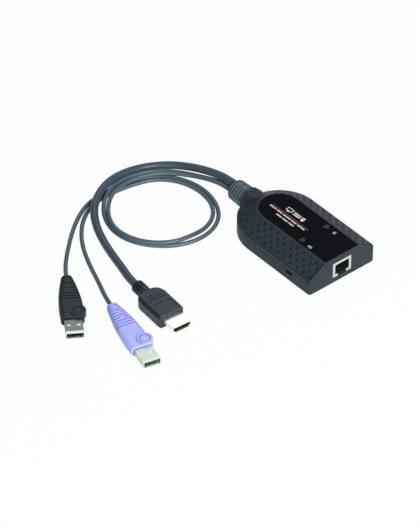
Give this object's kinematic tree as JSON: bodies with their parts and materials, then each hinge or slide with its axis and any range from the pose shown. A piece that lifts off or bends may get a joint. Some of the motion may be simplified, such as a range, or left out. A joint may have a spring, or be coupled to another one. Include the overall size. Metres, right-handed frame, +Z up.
{
  "type": "kvm dongle",
  "caption": "Dark D-shaped adapter housing with sloped dimpled sides, a network jack at the square end and captive leads to a video plug and data plugs at the round end.",
  "frame": {"origin": "centre of the housing's bounding box in plan, on the surface that it stands on, leaving out the leads, their plugs and their strain relief", "axes": "+Z up through the label, +Y from the network jack to the leads, +X to the right when looking along +Y from above"},
  "size_m": [0.2077, 0.1774, 0.0217],
  "materials": {
    "shell_plastic": "fine matt texture",
    "label_film": "gloss",
    "light_pipe": "smoked translucent",
    "lamp": "clear",
    "screw_steel": "black oxide",
    "board": "solder mask",
    "chip": "moulded",
    "crystal_can": "plated",
    "plated_sheet": "nickel plated",
    "contact_metal": "gold plated",
    "jack_plastic": "moulded",
    "switch_plastic": "moulded",
    "header_plastic": "moulded",
    "relief_rubber": "satin",
    "cable_jacket": "satin",
    "black_grip": "satin",
    "lilac_grip": "satin",
    "white_insert": "moulded",
    "black_insert": "moulded"
  },
  "bodies": {
    "adapter": {"top_shell": "shell_plastic", "bottom_shell": "shell_plastic", "housing_screws": "screw_steel", "label_plate": "label_film", "power_light_pipe": "light_pipe", "link_light_pipe": "light_pipe", "power_led": "lamp", "link_led": "lamp", "circuit_board": "board", "main_chip": "chip", "memory_chip": "chip", "crystal": "crystal_can", "network_transformer": "chip", "jack_shield": "plated_sheet", "jack_body": "jack_plastic", "jack_contacts": "contact_metal", "switch_body": "switch_plastic", "strain_relief": "relief_rubber", "video_cable": "cable_jacket", "video_header": "header_plastic", "video_tail": "cable_jacket", "video_plug_grip": "black_grip", "video_plug_shell": "plated_sheet", "video_plug_insert": "black_insert", "video_plug_contacts": "contact_metal", "keyboard_cable": "cable_jacket", "keyboard_header": "header_plastic", "keyboard_tail": "cable_jacket", "keyboard_plug_grip": "black_grip", "keyboard_plug_shell": "plated_sheet", "keyboard_plug_insert": "white_insert", "keyboard_plug_contacts": "contact_metal", "media_cable": "cable_jacket", "media_header": "header_plastic", "media_tail": "cable_jacket", "media_plug_grip": "lilac_grip", "media_plug_shell": "plated_sheet", "media_plug_insert": "black_insert", "media_plug_contacts": "contact_metal"},
    "switch": {"switch_knob": "switch_plastic"}
  },
  "joints": [
    {"name": "recovery_switch", "type": "slide", "parent": "adapter", "child": "switch", "axis": [0, 1, 0], "range_m": [0, 0.002]}
  ]
}
